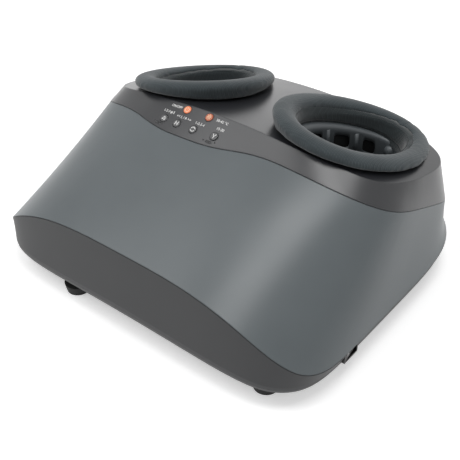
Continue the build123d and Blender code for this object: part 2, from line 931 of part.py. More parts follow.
def make_inlet():
    socket = inlet_box(0, inlet_depth, inlet_face_y)
    socket -= inlet_box(-inlet_wall, inlet_depth - inlet_floor, inlet_face_y + running_gap)
    low_y = inlet_face_y - inlet_depth + inlet_wall
    for x in (inlet_x - inlet_pin_spacing / 2, inlet_x + inlet_pin_spacing / 2):
        socket += rod_y(x, low_y, inlet_face_y - inlet_floor, inlet_z, inlet_pin_radius)
    return socket


# Power board
power_board_z = base_bottom + wall + power_board_standoff


def board_posts():
    posts = []
    for side_x in (-1, 1):
        for side_y in (-1, 1):
            x = power_board_x + side_x * (power_board_half_width - power_board_post_radius)
            y = power_board_y + side_y * (power_board_half_length - power_board_post_radius)
            posts.append((x, y))
    return posts


def make_power_board():
    plate = Box(2 * power_board_half_width, 2 * power_board_half_length, board_thickness, align=post_align)
    return Pos(power_board_x, power_board_y, power_board_z) * plate


def make_power_parts():
    top = power_board_z + board_thickness
    parts = []
    for step in (-1, 0, 1):
        y = power_board_y + step * (choke_size + capacitor_radius)
        x = power_board_x - capacitor_radius
        parts.append(column(x, y, top, top + capacitor_height, capacitor_radius))
    low = (power_board_x + capacitor_radius / 2, power_board_y - choke_size, top)
    high = (power_board_x + power_board_half_width, power_board_y + choke_size, top + choke_size)
    parts.append(block(low, high))
    return Compound(parts)


# Feet and screws
def make_feet():
    pads = []
    for x, y in foot_pads:
        pad = Pos(x, y, 0) * Cone(foot_pad_radius, foot_pad_top_radius, base_bottom, align=post_align)
        pad += column(x, y, 0, base_bottom + foot_spigot_height, foot_spigot_radius)
        pad -= column(x, y, 0, base_bottom / 2 + screw_head_height, screw_head_radius + seat_gap)
        pad -= column(x, y, 0, top_z, screw_radius + seat_gap)
        pads.append(pad)
    return Compound(pads)


def screw(x, y, head_z, length):
    """A screw with its head's seat at head_z and its point above it."""
    return column(x, y, head_z - screw_head_height, head_z, screw_head_radius) + column(
        x, y, head_z - seat_gap, head_z + length, screw_radius
    )


def make_foot_screws():
    head_z = base_bottom / 2 + screw_head_height
    return Compound([screw(x, y, head_z, base_bottom + wall - head_z) for x, y in foot_pads])


def make_case_screws():
    head_z = base_bottom + screw_recess
    length = boss_split_z + screw_grip - head_z - seat_gap
    return Compound([screw(x, y, head_z, length) for x, y in boss_places])


node("base_tub", make_base())
node("support_posts", make_posts())
node("ramp_cover", make_cover())
node("top_trim", make_trim())
pair("ankle_collar", make_collar())
pair("collar_ring", make_collar_ring())
pair("foot_pocket", make_pocket())
pair("sole_plate", make_sole())
pair("instep_airbag", make_airbag())
pair("heater_pad", make_heater())
roller = make_roller()
worm_gear = make_worm_gear()
for place, shaft_y in roller_shaft_y.items():
    pair("kneading_roller_" + place, Pos(0, shaft_y - roller_shaft_y["front"], 0) * roller)
    node("roller_shaft_" + place, make_roller_shaft(shaft_y))
    node("worm_gear_" + place, Pos(0, shaft_y, 0) * worm_gear)
node("drive_shaft", make_drive_shaft())
node("gearbox_base", gearbox_half(-1))
node("gearbox_lid", gearbox_half(1))
node("shaft_bushes", make_bushes())
node("bearing_blocks", make_bearing_blocks())
node("motor", make_motor())
node("motor_bracket", make_motor_bracket())
node("air_pump", make_pump())
node("air_valve", make_valve())
pair("air_hose", make_hose())
node("control_board", make_control_board())
node("button_switches", make_tact_switches())
node("indicator_lights", make_lights())
for label, place in buttons.items():
    node("button_" + label, make_button(*place))
node("rocker_frame", make_rocker_frame())
node("rocker", make_rocker())
node("power_inlet", make_inlet())
node("power_board", make_power_board())
node("power_components", make_power_parts())
node("rubber_feet", make_feet())
node("foot_screws", make_foot_screws())
node("case_screws", make_case_screws())

os.makedirs("parts", exist_ok=True)
for name, shape in nodes.items():
    export_step(shape, "parts/" + name + ".step")
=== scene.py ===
"""Foot massager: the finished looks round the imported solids."""

import math

import bmesh
import bpy
from mathutils import Matrix, Vector
from mathutils.bvhtree import BVHTree


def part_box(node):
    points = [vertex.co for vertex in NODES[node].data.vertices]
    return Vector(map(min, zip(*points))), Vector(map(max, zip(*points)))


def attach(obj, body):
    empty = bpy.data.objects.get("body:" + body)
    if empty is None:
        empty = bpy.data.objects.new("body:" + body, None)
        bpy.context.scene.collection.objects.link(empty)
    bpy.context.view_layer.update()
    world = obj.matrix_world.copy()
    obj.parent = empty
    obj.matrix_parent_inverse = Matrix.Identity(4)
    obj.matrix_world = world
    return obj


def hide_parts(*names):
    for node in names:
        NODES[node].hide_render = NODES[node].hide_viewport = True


bl_info = {
    "name": "Foot Massager",
    "version": (1, 0, 0),
    "blender": (4, 5, 0),
    "location": "3D View > Sidebar > Foot Massager",
    "description": "Builds the looks of a foot massager round its solids",
    "category": "Object",
}

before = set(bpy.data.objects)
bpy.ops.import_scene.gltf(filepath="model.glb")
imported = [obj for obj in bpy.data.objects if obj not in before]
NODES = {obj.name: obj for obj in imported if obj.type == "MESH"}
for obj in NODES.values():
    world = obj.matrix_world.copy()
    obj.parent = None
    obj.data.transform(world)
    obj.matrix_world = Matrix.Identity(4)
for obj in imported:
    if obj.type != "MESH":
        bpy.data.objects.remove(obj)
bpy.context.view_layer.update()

# ---- Sizes, in metres unless a comment says otherwise

MM = 0.001
HOUSING = "housing"
TOP_TRIM = "top_trim"
SIDES = ("left", "right")
KEYS = ("power", "heat", "knead", "direction", "air", "timer")
ORANGE_KEYS = ("power", "heat")
WELD = 0.01 * MM

# The button panel faces up and towards the toes.
PANEL_UP = Vector((0.0, -0.554086, 0.832459))
PANEL_ACROSS = Vector((1.0, 0.0, 0.0))
PANEL_RISE = PANEL_UP.cross(PANEL_ACROSS)
# Flat marks are laid by rays that start this far above their place and reach this far.
RAY_LIFT = 30 * MM
RAY_REACH = 80 * MM

# The right-hand ankle opening in plan, and how far its long axis turns outwards at the heel.
OPENING_MIDDLE = Vector((102.0, 80.0)) * MM
OPENING_YAW = math.radians(15.0)
OPENING_HALF_WIDTH = 53 * MM
OPENING_HALF_LENGTH = 77 * MM
OPENING_EGG_SHARE = -0.09
# The opening's plane: its height at the middle, and how it falls outwards and to the heel.
OPENING_HEIGHT = 158 * MM
OPENING_FALL = (-0.202, -0.265)

# The collars: rounds of smoothing after the remesh, and how strong each is.
COLLAR_RELAX_STEPS = 6
COLLAR_RELAX = 0.5
# The heel seam's stitches: how many, where they start from the opening's middle, how far apart, how far
# beside the seam as a share of its width, one stitch's half sizes, and the least upward slope of the cover
# that gets one.
STITCH_COUNT = 16
STITCH_START = 66 * MM
STITCH_PITCH = 3 * MM
STITCH_SIDE_SHARE = 0.75
STITCH_HALF = (0.28 * MM, 1.15 * MM, 0.22 * MM)
STITCH_LEAST_RISE = 0.25
# They are laid by rays that fall from this height, this far.
STITCH_RAY_HEIGHT = 300 * MM
STITCH_RAY_REACH = 200 * MM

# The lining: its gap to the ring's wall, its thickness, and how squarely a face looks at the well's middle
# where it is lined, from 0 to 1.
LINING_GAP = 0.4 * MM
LINING_THICKNESS = LINING_GAP / 2
INWARD_SHARE = 0.5
# The tight skirt between collar and lining, in mm: the depths where both walls are measured, its gap to them,
# how deep its upper edge sits in the collar, and how far inside the opening's edge the measuring rays start.
SKIRT_DEPTHS = range(-16, 11)
SKIRT_GAP = 0.5
SKIRT_SINK = 1.0
WELL_AXIS_INSET = 40.0
# Its thickness, the rows and columns of its mesh, and the columns that are evened out with each one.
SKIRT_THICKNESS = 0.3 * MM
SKIRT_ROWS = 9
SKIRT_COLUMNS = 180
SKIRT_BLUR = (-2, -1, 0, 1, 2)

# The insert in each ankle well: its section as inset and depth in mm above and below its windows, the turns
# round the opening in degrees, and each window's middle turn and half width.
INSERT_ABOVE = ((3.6, 12.0), (6.5, 12.3), (9.0, 13.4), (10.2, 15.6), (10.6, 18.5))
INSERT_BELOW = ((10.6, 46.0), (9.2, 49.0), (8.0, 51.0), (4.0, 52.5))
INSERT_TURNS = (20, 215)
INSERT_WINDOWS = ((69.0, 8.5), (128.0, 8.0), (161.0, 9.5), (193.0, 8.5))
INSERT_THICKNESS = 1.6 * MM
INSERT_WELD = 0.001 * MM
# The windows' middle depth and half height in mm, how square their corners are, and where along the half
# width each corner gets a column of its own.
WINDOW_DEPTH = 31.0
WINDOW_HALF = 8.0
WINDOW_POWER = 4
WINDOW_CORNER_SHARE = 0.96
# The near-black sheet behind them, painted shade that darkens the windows, as inset and depth in mm.
SHADE_SHEET_SECTION = ((5.0, 14.0), (5.0, 24.0), (5.0, 36.0), (5.0, 50.0))
SHADE_SHEET_THICKNESS = 0.4 * MM
# The insert's upright ribs and its knob: turns in degrees, inset, depths and radii.
RIB_TURNS = (50.0, 144.0, 178.0)
RIB_INSET = 10.4 * MM
RIB_TOP = 18 * MM
RIB_FOOT = 46 * MM
RIB_RADIUS = 2.4 * MM
RIB_SIDES = 24
KNOB_TURN = 97.0
KNOB_INSET = 9 * MM
KNOB_DEPTH = 25 * MM
KNOB_RADIUS = 7 * MM
KNOB_SIDES = (32, 20)

# Signs on the buttons, as arcs (centre x, centre y, radius, start, turn) and bars (x, y, length, angle), in
# mm and degrees. The sun's rays stand in a ring.
FULL_TURN = 360
SUN_RAY_COUNT = 8
SUN_RAY_RING = 2.6
SUN_RAY_LENGTH = 1.0
SUN_RAYS = [
    (SUN_RAY_RING * math.cos(turn), SUN_RAY_RING * math.sin(turn), SUN_RAY_LENGTH, math.degrees(turn))
    for turn in (2 * math.pi * step / SUN_RAY_COUNT for step in range(SUN_RAY_COUNT))
]
SIGNS = {
    "power": {"arcs": [(0, 0, 2.5, 120, 300)], "bars": [(0, 1.7, 2.8, 90)]},
    "heat": {"arcs": [(0, 0, 1.3, 0, FULL_TURN)], "bars": SUN_RAYS},
    "knead": {"arcs": [], "bars": [(0, -1.5, 4.4, 0), (-1.1, 0.3, 4.4, 60), (1.1, 0.3, 4.4, 120)]},
    "direction": {"arcs": [], "bars": [(-1.6, 0, 4.8, 90), (1.6, 0, 4.8, 90), (0, 0, 3.2, 0)]},
    "air": {"arcs": [(0, 0, 2.5, 15, 150), (0, 0, 2.5, 195, 150)], "bars": []},
    "timer": {"arcs": [], "bars": [(-1.15, 1.3, 3.3, 120), (1.15, 1.3, 3.3, 60), (0, -1.3, 2.9, 90)]},
}
ARC_STEPS = 28
BAR_STEPS = 4
# Plain marks beside the buttons: words, offset across and up the panel in mm.
LEGENDS = {
    "power": ("ON/OFF", -15.5, 0.0),
    "heat": ("38-42 \u00b0C", 17.6, 0.2),
    "knead": ("1-2-3-4-5", 0.6, 9.6),
    "direction": ("<< L / R >>", 4.0, 8.8),
    "air": ("1-2-3-4", 3.9, 8.4),
    "timer": ("15-30", 1.9, 9.6),
}
LEGEND_WELD = 0.005 * MM
LEGEND_CURVE_STEPS = 3
# The ink's thickness as a share of its lift, and how far below its highest point a button's face reaches.
INK_THICKNESS_SHARE = 0.8
CAP_EDGE = 0.2 * MM
# Small round light windows along the panel's lower edge: their places in mm.
LIGHT_DOTS = (
    (-80.3, -38.1, 164.3), (-74.7, -39.1, 164.4), (-68.6, -40.1, 164.5),
    (-8.2, -41.5, 166.5), (-0.9, -41.2, 166.8), (6.3, -40.2, 167.2),
)
DOT_SIDES = 20
# The rocker's bar and ring: how far each stands from its middle, the bar's length, the ring's radius, half of
# the line width as a share of the buttons' stroke, and where the rays that lay them start.
ROCKER_SIGN_REACH = 4.6 * MM
ROCKER_BAR = 3.2 * MM
ROCKER_RING = 1.3 * MM
ROCKER_STROKE_SHARE = 1 / 3
ROCKER_RAY_LIFT = 20 * MM

# The floor's paper glows towards white with distance, so that only the shadow near the massager shows.
FLOOR_GLOW = {"From Min": 0.6, "From Max": 2.2, "To Min": 0.45, "To Max": 1.0}
FLOOR_PAPER = "#f3f3f3"
# The white studio throws less light than the eye sees in it.
WORLD_GLOW = {"To Min": 0.45, "To Max": 1.0}
WHITE = (1.0, 1.0, 1.0, 1.0)
# Soft lights: name, place, size, share of the key's power. Each looks at the massager's middle.
LIGHTS = (
    ("key", (-0.9, -0.8, 1.8), 1.2, 0.62),
    ("overhead", (0.35, -0.1, 2.1), 0.8, 0.72),
    ("fill", (1.7, -0.9, 1.1), 1.6, 0.05),
    ("back", (-1.0, 1.75, 0.6), 1.2, 0.1),
)
LIGHTS_LOOK_AT = Vector((0, 0, 0.1))
# The photo's camera: place, then azimuth, elevation and roll in radians.
CAMERA_PLACE = (0.4736, -0.6015, 0.5848)
CAMERA_TURN = (0.672, 0.627, 0.003)
CAMERA_SENSOR_MM = 36.0
CAMERA_CLIP = (0.01, 100.0)


# ---- Materials

PLASTIC_IOR = 1.5
FIBRE_IOR = 1.45
# Lacquer over plastic is a little hazy.
COAT_ROUGHNESS = 0.25
BEVEL_SAMPLES = 4
# How much a fine pattern adds to the slow drift in shade, and how far roughness drifts each way.
GRAIN_SHARE = 0.35
LOOP_SHARE = 0.4
MOULDED_DRIFT = 0.05
MACHINED_DRIFT = 0.08
# A wave texture of scale 1 repeats every 0.314 m.
WAVE_PERIOD = 0.314
KNIT_FADE_MM = 25.0
LOOP_HEIGHT_MM = 0.25
# Tool marks are long: their pattern runs 25 times as slowly along the tool's path.
TOOL_MARK_SQUEEZE = 0.04
TOOL_MARK_HEIGHT_MM = 0.03
MASK_CLOUD_MM = 6.0
TRACK_HEIGHT_MM = 0.04
INK_CLOUD_MM = 0.6


def linear(hex_colour):
    """An sRGB hex value as a linear colour."""
    parts = [int(hex_colour[i:i + 2], 16) / 255 for i in (1, 3, 5)]
    return tuple(p / 12.92 if p <= 0.04045 else ((p + 0.055) / 1.055) ** 2.4 for p in parts) + (1.0,)


def node(tree, kind, settings=None, links=None):
    """Adds a shader node: its properties and socket values from settings, its inputs from links."""
    made = tree.nodes.new(kind)
    for key, value in (settings or {}).items():
        if isinstance(key, str) and hasattr(made, key):
            setattr(made, key, value)
        else:
            made.inputs[key].default_value = value
    for key, source in (links or {}).items():
        tree.links.new(source, made.inputs[key])
    return made


def new_material(name):
    """An empty material, its tree, and the place on the object that all patterns are laid out by."""
    material = bpy.data.materials.new(name)
    material.use_nodes = True
    tree = material.node_tree
    tree.nodes.clear()
    return material, tree, node(tree, "ShaderNodeTexCoord").outputs["Object"]


def blended(tree, factor, dark, light):
    """A colour between two shades, given as sRGB hex values."""
    mix = node(tree, "ShaderNodeMix", {"data_type": "RGBA", 6: linear(dark), 7: linear(light)}, {0: factor})
    return mix.outputs[2]


def finish_surface(material, tree, shader):
    """Joins the shader to the material's output."""
    output = node(tree, "ShaderNodeOutputMaterial", links={"Surface": shader.outputs[0]})
    output.is_active_output = True
    return material


def moulded(name, dark, light, rough, grain_mm, bump_mm, edge_mm=0.0, cloud_mm=60.0, coat=0.0):
    """Injection-moulded plastic or rubber: a fine spark-eroded grain, a slow drift in shade, softened edges.

    A real grain of 0.1 to 0.3 mm is too fine to show, so it is drawn a few times as coarse.
    """
    material, tree, place = new_material(name)
    grain = node(tree, "ShaderNodeTexNoise", {"Scale": 1 / (grain_mm * MM), "Detail": 3.0}, {"Vector": place})
    cloud = node(tree, "ShaderNodeTexNoise", {"Scale": 1 / (cloud_mm * MM), "Detail": 2.0}, {"Vector": place})
    speck = node(
        tree, "ShaderNodeMath", {"operation": "MULTIPLY_ADD", 1: GRAIN_SHARE},
        {0: grain.outputs["Fac"], 2: cloud.outputs["Fac"]},
    )
    shade = node(tree, "ShaderNodeMapRange", {"From Min": 0.35, "From Max": 1.0}, {"Value": speck.outputs[0]})
    colour = blended(tree, shade.outputs[0], dark, light)
    roughness = node(
        tree, "ShaderNodeMapRange", {"To Min": rough - MOULDED_DRIFT, "To Max": rough + MOULDED_DRIFT},
        {"Value": cloud.outputs["Fac"]},
    )
    bump_links = {"Height": grain.outputs["Fac"]}
    if edge_mm:
        rounded = node(tree, "ShaderNodeBevel", {"samples": BEVEL_SAMPLES, "Radius": edge_mm * MM})
        bump_links["Normal"] = rounded.outputs[0]
    bump = node(tree, "ShaderNodeBump", {"Strength": 0.5, "Distance": bump_mm * MM}, bump_links)
    shader = node(
        tree, "ShaderNodeBsdfPrincipled",
        {"IOR": PLASTIC_IOR, "Coat Weight": coat, "Coat Roughness": COAT_ROUGHNESS},
        {"Base Color": colour, "Roughness": roughness.outputs[0], "Normal": bump.outputs[0]},
    )
    return finish_surface(material, tree, shader)


def knit(name, dark, light, loop_mm):
    """Knitted polyester over foam: rows of small loops, a soft sheen at the edges, slightly faded crowns.

    The loops are drawn at twice their real pitch, as finer ones would not show.
    """
    material, tree, place = new_material(name)
    rows = {"wave_type": "BANDS", "Scale": WAVE_PERIOD / (loop_mm * MM) / 2, "Distortion": 0.6, "Detail": 1.0}
    across = node(tree, "ShaderNodeTexWave", {"bands_direction": "X", **rows}, {"Vector": place})
    along = node(tree, "ShaderNodeTexWave", {"bands_direction": "Y", **rows}, {"Vector": place})
    loops = node(
        tree, "ShaderNodeMath", {"operation": "MULTIPLY"}, {0: across.outputs["Fac"], 1: along.outputs["Fac"]}
    )
    fade = node(
        tree, "ShaderNodeTexNoise", {"Scale": 1 / (KNIT_FADE_MM * MM), "Detail": 4.0}, {"Vector": place}
    )
    tone = node(
        tree, "ShaderNodeMath", {"operation": "MULTIPLY_ADD", 1: LOOP_SHARE},
        {0: loops.outputs[0], 2: fade.outputs["Fac"]},
    )
    shade = node(tree, "ShaderNodeMapRange", {"From Min": 0.3, "From Max": 0.95}, {"Value": tone.outputs[0]})
    colour = blended(tree, shade.outputs[0], dark, light)
    bump = node(
        tree, "ShaderNodeBump", {"Strength": 0.6, "Distance": LOOP_HEIGHT_MM * MM},
        {"Height": loops.outputs[0]},
    )
    shader = node(
        tree, "ShaderNodeBsdfPrincipled",
        {"Roughness": 0.92, "IOR": FIBRE_IOR, "Sheen Weight": 0.35, "Sheen Roughness": 0.45},
        {"Base Color": colour, "Normal": bump.outputs[0]},
    )
    return finish_surface(material, tree, shader)


def machined(name, dark, light, rough, line_mm, axis):
    """Ground or drawn metal: fine lines along one axis, drawn coarser than the real tool marks to show."""
    material, tree, place = new_material(name)
    squeeze = [1.0, 1.0, 1.0]
    squeeze["XYZ".index(axis)] = TOOL_MARK_SQUEEZE
    drawn = node(tree, "ShaderNodeMapping", {"Scale": tuple(squeeze)}, {"Vector": place})
    lines = node(
        tree, "ShaderNodeTexNoise", {"Scale": 1 / (line_mm * MM), "Detail": 2.0}, {"Vector": drawn.outputs[0]}
    )
    colour = blended(tree, lines.outputs["Fac"], dark, light)
    roughness = node(
        tree, "ShaderNodeMapRange", {"To Min": rough - MACHINED_DRIFT, "To Max": rough + MACHINED_DRIFT},
        {"Value": lines.outputs["Fac"]},
    )
    bump = node(
        tree, "ShaderNodeBump", {"Strength": 0.3, "Distance": TOOL_MARK_HEIGHT_MM * MM},
        {"Height": lines.outputs["Fac"]},
    )
    shader = node(
        tree, "ShaderNodeBsdfPrincipled", {"Metallic": 1.0},
        {"Base Color": colour, "Roughness": roughness.outputs[0], "Normal": bump.outputs[0]},
    )
    return finish_surface(material, tree, shader)


def circuit_board(name, dark, light, track_mm):
    """Solder-masked glass-epoxy board: tracks show through the mask, drawn wider than real ones."""
    material, tree, place = new_material(name)
    tracks = node(
        tree, "ShaderNodeTexBrick", {"Scale": 1 / (track_mm * MM) / 4, "Mortar Size": 0.03}, {"Vector": place}
    )
    cloud = node(
        tree, "ShaderNodeTexNoise", {"Scale": 1 / (MASK_CLOUD_MM * MM), "Detail": 2.0}, {"Vector": place}
    )
    tone = node(
        tree, "ShaderNodeMath", {"operation": "MULTIPLY"}, {0: tracks.outputs["Fac"], 1: cloud.outputs["Fac"]}
    )
    colour = blended(tree, tone.outputs[0], dark, light)
    bump = node(
        tree, "ShaderNodeBump", {"Strength": 0.4, "Distance": TRACK_HEIGHT_MM * MM},
        {"Height": tracks.outputs["Fac"]},
    )
    shader = node(
        tree, "ShaderNodeBsdfPrincipled", {"Roughness": 0.4},
        {"Base Color": colour, "Normal": bump.outputs[0]},
    )
    return finish_surface(material, tree, shader)


def printed(name, hex_colour):
    """Pad-printed ink: matt, very slightly uneven."""
    material, tree, place = new_material(name)
    uneven = node(tree, "ShaderNodeTexNoise", {"Scale": 1 / (INK_CLOUD_MM * MM)}, {"Vector": place})
    roughness = node(
        tree, "ShaderNodeMapRange", {"To Min": 0.5, "To Max": 0.75}, {"Value": uneven.outputs["Fac"]}
    )
    shader = node(
        tree, "ShaderNodeBsdfPrincipled", {"Base Color": linear(hex_colour)},
        {"Roughness": roughness.outputs[0]},
    )
    return finish_surface(material, tree, shader)


# Each finish: its maker, then the maker's words in order. All start with a dark and a light shade. Moulded
# goes on with roughness, grain, bump height, edge radius and cloud size in mm, and the weight of its coat,
# knit with the loops' pitch, machined with roughness, line width and axis, the board with its tracks' width.
FINISHES = {
    # ABS, satin spark-eroded mould: soft broad highlights on the cover's curves
    "cover_abs": (moulded, ("#535a5d", "#596063", 0.34, 0.7, 0.012, 1.2)),
    # ABS, coarser mould: the dark tub stays dull beside the cover
    "tub_abs": (moulded, ("#262729", "#2c2d2f", 0.5, 0.8, 0.02, 1.5)),
    # ABS, finely textured and lacquered: the deck and band mirror a little
    "trim_abs": (moulded, ("#222326", "#27282b", 0.3, 0.7, 0.008, 2.2, 60.0, 0.15)),
    # polyester knit over foam: matt with a pale sheen at the edges. The wells' copy is darker, painted shade
    # for their insides.
    "collar_knit": (knit, ("#353c3f", "#434b4e", 1.1)),
    "well_knit_painted_shade": (knit, ("#22282a", "#2b3335", 1.1)),
    # woven nylon, nearly black and matt: painted shade, standing in for the shadow gap under the collars and
    # the shade behind the insert's windows
    "shade_black_nylon": (moulded, ("#0f1011", "#17191a", 0.7, 0.8, 0.03, 0.6)),
    # ABS, moulded: the pocket's wall and the insert, lighter than the cloth round them
    "pocket_abs": (moulded, ("#4a5053", "#5b6164", 0.5, 0.9, 0.03, 1.0)),
    "insert_abs": (moulded, ("#4b5053", "#565b5e", 0.42, 0.9, 0.02, 0.6)),
    # ABS, grained against slipping: the sole under the foot
    "sole_abs": (moulded, ("#2c2e30", "#383b3d", 0.55, 1.1, 0.05, 0.8)),
    # coated fabric film, welded: slightly cloudy and soft
    "airbag_film": (moulded, ("#303438", "#3c4145", 0.6, 1.2, 0.06, 0.0, 20.0)),
    # silicone sheet, pressed: the warm strip's brick red
    "heater_silicone": (moulded, ("#86442e", "#a3573c", 0.55, 0.8, 0.03, 0.0, 12.0)),
    # soft rubber, moulded: rounded dull highlights on the knobs
    "roller_rubber": (moulded, ("#43484b", "#52585b", 0.5, 1.0, 0.03, 0.6)),
    # steel, ground: bright, with fine lines along the shaft
    "shaft_steel": (machined, ("#b4b6b8", "#d2d4d5", 0.28, 0.5, "X")),
    "drive_steel": (machined, ("#acaeb0", "#c8cacb", 0.3, 0.5, "Y")),
    # acetal, moulded: ivory and slightly waxy
    "gear_acetal": (moulded, ("#d8d4c8", "#e6e2d8", 0.35, 0.7, 0.01, 0.4)),
    # glass-filled nylon: dark with a rough, cloudy skin
    "gearbox_nylon": (moulded, ("#2b2d30", "#393c3f", 0.6, 1.3, 0.06, 1.0)),
    # bronze, sintered and reamed: dull yellow
    "bush_bronze": (machined, ("#a8854a", "#c9a768", 0.4, 0.4, "Z")),
    # nylon, moulded without pigment: off-white and matt
    "bearing_nylon": (moulded, ("#cfcfca", "#e2e2dd", 0.5, 0.9, 0.03, 0.6)),
    # steel, drawn or stamped and zinc-plated: pale grey, faintly lined
    "motor_zinc": (machined, ("#9a9da0", "#babdbf", 0.35, 0.8, "Y")),
    "bracket_zinc": (machined, ("#9fa2a4", "#c4c7c8", 0.38, 1.4, "Z")),
    # ABS, moulded: the pump's black and the valve's pale case
    "pump_abs": (moulded, ("#1c1d1f", "#2a2b2d", 0.4, 0.9, 0.03, 0.8)),
    "valve_abs": (moulded, ("#c8c8c4", "#dcdcd8", 0.4, 0.9, 0.02, 0.6)),
    # silicone tube, extruded: milky
    "hose_silicone": (moulded, ("#aab0b0", "#c4caca", 0.35, 1.0, 0.02, 0.0, 10.0)),
    # glass-epoxy board with a green mask, and black epoxy-cased parts on it
    "board_epoxy": (circuit_board, ("#143f22", "#2d6b3f", 0.8)),
    "part_epoxy": (moulded, ("#18181a", "#27272a", 0.45, 0.7, 0.02, 0.3)),
    # smoked polycarbonate, polished: the light windows' dark gloss
    "lens_smoke": (moulded, ("#0c0d0e", "#161718", 0.2, 1.0, 0.005, 0.0, 8.0, 0.4)),
    # silicone-coated ABS caps: bright orange, a darker ember, and near black
    "key_orange": (moulded, ("#f0794a", "#fb9a66", 0.38, 0.6, 0.01, 0.3, 6.0, 0.2)),
    "key_ember": (moulded, ("#a94e2c", "#bb5c36", 0.38, 0.6, 0.01, 0.3, 6.0, 0.2)),
    "key_dark": (moulded, ("#27282a", "#2f3032", 0.3, 0.6, 0.01, 0.3, 6.0, 0.2)),
    # ABS, semi-gloss: the switch and the inlet
    "switch_abs": (moulded, ("#0e0e0f", "#1a1a1b", 0.35, 0.8, 0.015, 0.4)),
    # rubber, pressed: dull black pads
    "foot_rubber": (moulded, ("#121212", "#1c1c1c", 0.75, 0.9, 0.05, 0.8)),
    # steel, zinc-plated: grey and half bright
    "screw_zinc": (machined, ("#8f9193", "#b3b5b7", 0.35, 0.3, "Z")),
    # polyester thread, twisted: matt and a little darker than the cover
    "thread": (moulded, ("#2b3032", "#3a4043", 0.85, 0.3, 0.05)),
}
LEGEND_INK = "#e9e9e8"
ORANGE_KEY_INK = "#ffd2ae"
materials = {}


def finish(name):
    """The named finish, made once."""
    if name not in materials:
        maker, words = FINISHES[name]
        materials[name] = maker(name, *words)
    return materials[name]


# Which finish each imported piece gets, by the start of its name. The longest start that fits counts.
NODE_FINISH = {
    "base_tub": "tub_abs",
    "support_posts": "tub_abs",
    "ramp_cover": "cover_abs",
    "top_trim": "trim_abs",
    "ankle_collar": "collar_knit",
    # the ring's near-black is painted shade for the shadow gap under the collar
    "collar_ring": "shade_black_nylon",
    "foot_pocket": "pocket_abs",
    "sole_plate": "sole_abs",
    "instep_airbag": "airbag_film",
    "heater_pad": "heater_silicone",
    "kneading_roller": "roller_rubber",
    "roller_shaft": "shaft_steel",
    "worm_gear": "gear_acetal",
    "drive_shaft": "drive_steel",
    "gearbox": "gearbox_nylon",
    "shaft_bushes": "bush_bronze",
    "bearing_blocks": "bearing_nylon",
    "motor_bracket": "bracket_zinc",
    "motor": "motor_zinc",
    "air_pump": "pump_abs",
    "air_valve": "valve_abs",
    "air_hose": "hose_silicone",
    "control_board": "board_epoxy",
    "power_board": "board_epoxy",
    "button_switches": "part_epoxy",
    "power_components": "part_epoxy",
    "indicator_lights": "trim_abs",
    "button_power": "key_orange",
    "button_heat": "key_ember",
    "button_": "key_dark",
    "rocker": "switch_abs",
    "power_inlet": "switch_abs",
    "rubber_feet": "foot_rubber",
    "foot_screws": "screw_zinc",
    "case_screws": "screw_zinc",
}


# ---- Helpers


def dress(obj, material):
    """Gives a piece one material and no other."""
    obj.data.materials.clear()
    obj.data.materials.append(material)


def bmesh_of(mesh):
    """A new bmesh with a mesh's faces."""
    bm = bmesh.new()
    bm.from_mesh(mesh)
    return bm


def new_piece(name, bm, material, body=HOUSING):
    """Turns a bmesh into a smooth-shaded piece that rides on a body."""
    mesh = bpy.data.meshes.new(name)
    bm.to_mesh(mesh)
    bm.free()
    for face in mesh.polygons:
        face.use_smooth = True
    obj = bpy.data.objects.new(name, mesh)
    bpy.context.scene.collection.objects.link(obj)
    dress(obj, material)
    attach(obj, body)
    return obj


def baked(obj):
    """Gives a piece the mesh that its modifiers make, and drops them."""
    depsgraph = bpy.context.evaluated_depsgraph_get()
    mesh = bpy.data.meshes.new_from_object(obj.evaluated_get(depsgraph))
    obj.modifiers.clear()
    obj.data = mesh


def thickened(bm, thickness):
    """Turns a skin into a closed sheet with its normals outwards."""
    bmesh.ops.recalc_face_normals(bm, faces=bm.faces)
    bmesh.ops.solidify(bm, geom=bm.faces, thickness=thickness)
    bmesh.ops.recalc_face_normals(bm, faces=bm.faces)


def strips(bm, columns, gap_row=None):
    """Faces between neighbouring columns of vertices, but none in the gap row."""
    for low, high in zip(columns, columns[1:]):
        for row in range(len(low) - 1):
            if row != gap_row:
                bm.faces.new((low[row], low[row + 1], high[row + 1], high[row]))


def surface_of(obj):
    """A search tree over one piece."""
    bm = bmesh_of(obj.data)
    tree = BVHTree.FromBMesh(bm)
    bm.free()
    return tree


def node_surface(*names):
    """A search tree over the solids of the named nodes, at rest."""
    verts, faces = [], []
    for name in names:
        mesh = NODES[name].data
        start = len(verts)
        verts += [v.co.copy() for v in mesh.vertices]
        faces += [[start + i for i in polygon.vertices] for polygon in mesh.polygons]
    return BVHTree.FromPolygons(verts, faces)


def side_sign(side):
    """Which way a side lies along the x axis."""
    return 1 if side == "right" else -1


def opening_axes(side):
    """Middle of an ankle opening in plan, with the axes across it and along it to the heel."""
    sign = side_sign(side)
    middle = Vector((sign * OPENING_MIDDLE.x, OPENING_MIDDLE.y, 0))
    along = Vector((sign * math.sin(OPENING_YAW), math.cos(OPENING_YAW), 0))
    return middle, Vector((along.y, -along.x, 0)), along


def opening_point(side, turn, inset, depth):
    """A point inside an ankle opening: turn round it in degrees, inset from its edge, depth below it."""
    middle, across, along = opening_axes(side)
    angle = math.radians(turn)
    x = (OPENING_HALF_WIDTH - inset) * math.cos(angle) * (1 + OPENING_EGG_SHARE * math.sin(angle))
    y = (OPENING_HALF_LENGTH - inset) * math.sin(angle)
    point = middle + across * side_sign(side) * x + along * y
    outwards = abs(point.x) - OPENING_MIDDLE.x
    heelwards = point.y - middle.y
    point.z = OPENING_HEIGHT + OPENING_FALL[0] * outwards + OPENING_FALL[1] * heelwards - depth
    return point


def panel_matrix(point):
    """Places a flat mark at a point, square to the button panel."""
    turn = Matrix((PANEL_ACROSS, PANEL_RISE, PANEL_UP)).transposed().to_4x4()
    return Matrix.Translation(point) @ turn


